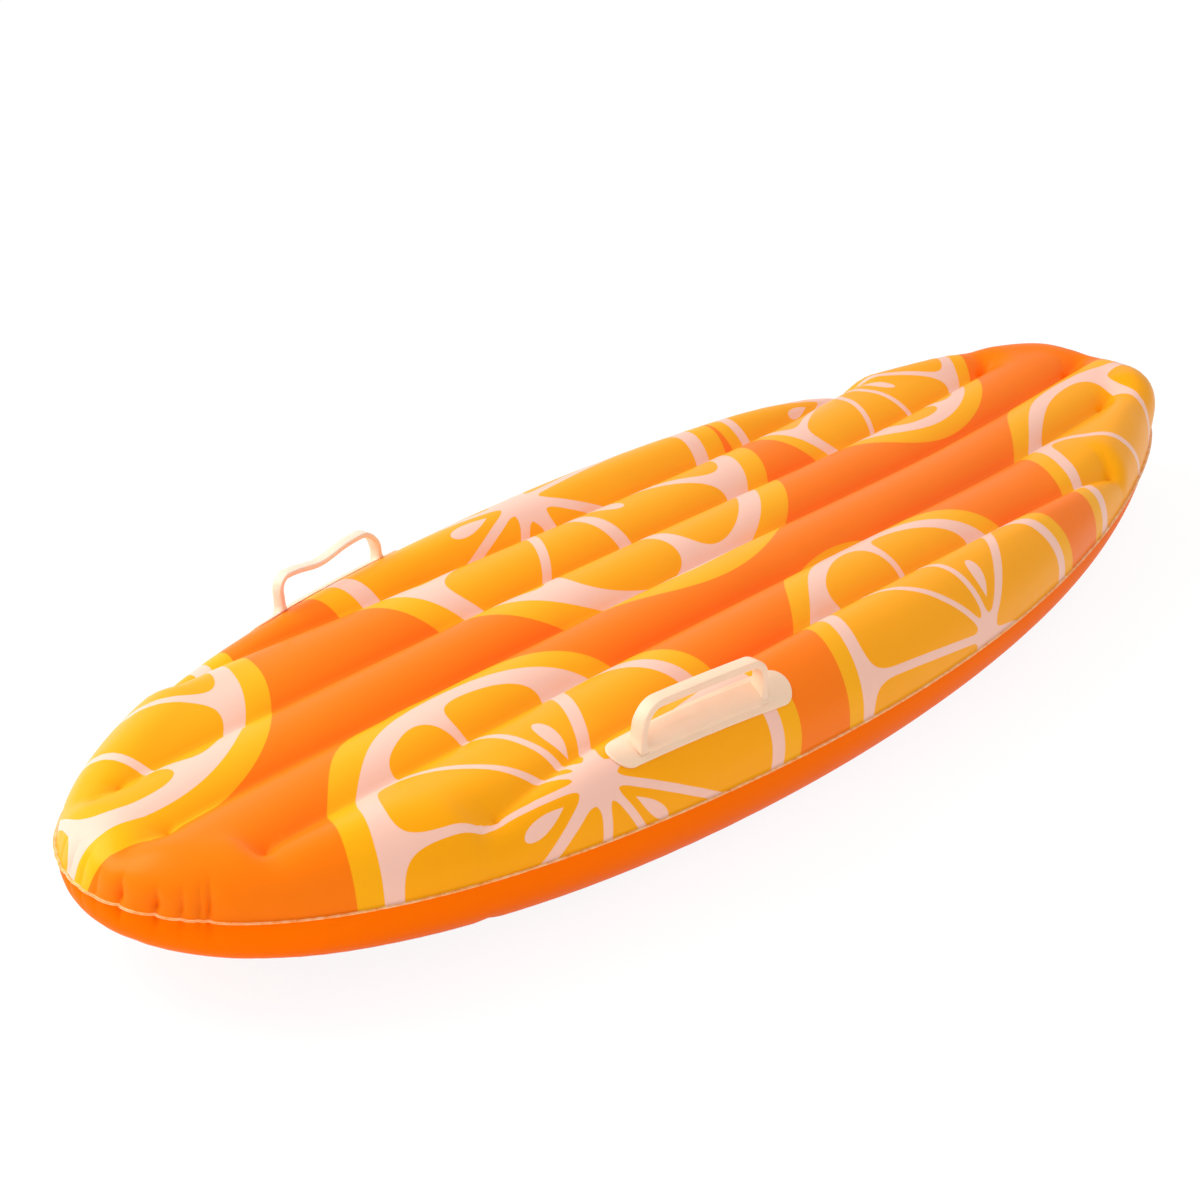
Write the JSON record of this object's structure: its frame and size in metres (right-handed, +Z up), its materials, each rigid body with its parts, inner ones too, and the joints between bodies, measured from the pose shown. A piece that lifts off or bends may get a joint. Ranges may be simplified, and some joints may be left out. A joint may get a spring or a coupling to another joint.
{
  "type": "inflatable float board",
  "caption": "Inflatable pool float board: welded film sheets in a surfboard outline, lengthwise tubes held by inner webs, stand-up grab handles and a push-in valve.",
  "frame": {"origin": "centre of the board on the floor it lies on, under its underside", "axes": "+X along the board towards the narrower tail, +Z up"},
  "size_m": [1.7346, 0.5256, 0.1874],
  "materials": {
    "printed_film": "soft PVC film, printed, satin gloss",
    "orange_film": "soft PVC film, plain orange, satin gloss",
    "web_film": "soft PVC film, unprinted",
    "handle_vinyl": "moulded soft PVC, ivory pink, satin",
    "valve_vinyl": "moulded soft PVC, milky white"
  },
  "bodies": {
    "root": {"top_sheet": "printed_film", "bottom_sheet": "orange_film", "web_1": "web_film", "web_2": "web_film", "web_3": "web_film", "web_4": "web_film", "web_5": "web_film", "handle_left": "handle_vinyl", "handle_right": "handle_vinyl", "valve_body": "valve_vinyl"},
    "stem": {"valve_stem": "valve_vinyl"},
    "plug": {"valve_plug": "valve_vinyl"},
    "flap": {"check_flap": "valve_vinyl"}
  },
  "joints": [
    {"name": "stem_slide", "type": "slide", "parent": "root", "child": "stem", "axis": [0, 0, -1], "range_m": [0, 0.014]},
    {"name": "plug_hinge", "type": "hinge", "parent": "stem", "child": "plug", "pos_m": [0.628, -0.04, 0.03039], "axis": [0, -1, 0], "range_deg": [0, 150]},
    {"name": "flap_hinge", "type": "hinge", "parent": "stem", "child": "flap", "pos_m": [0.6216, -0.04, 0.05534], "axis": [0, 1, 0], "range_deg": [0, 60], "stiffness_Nm_per_rad": 0.00002}
  ]
}
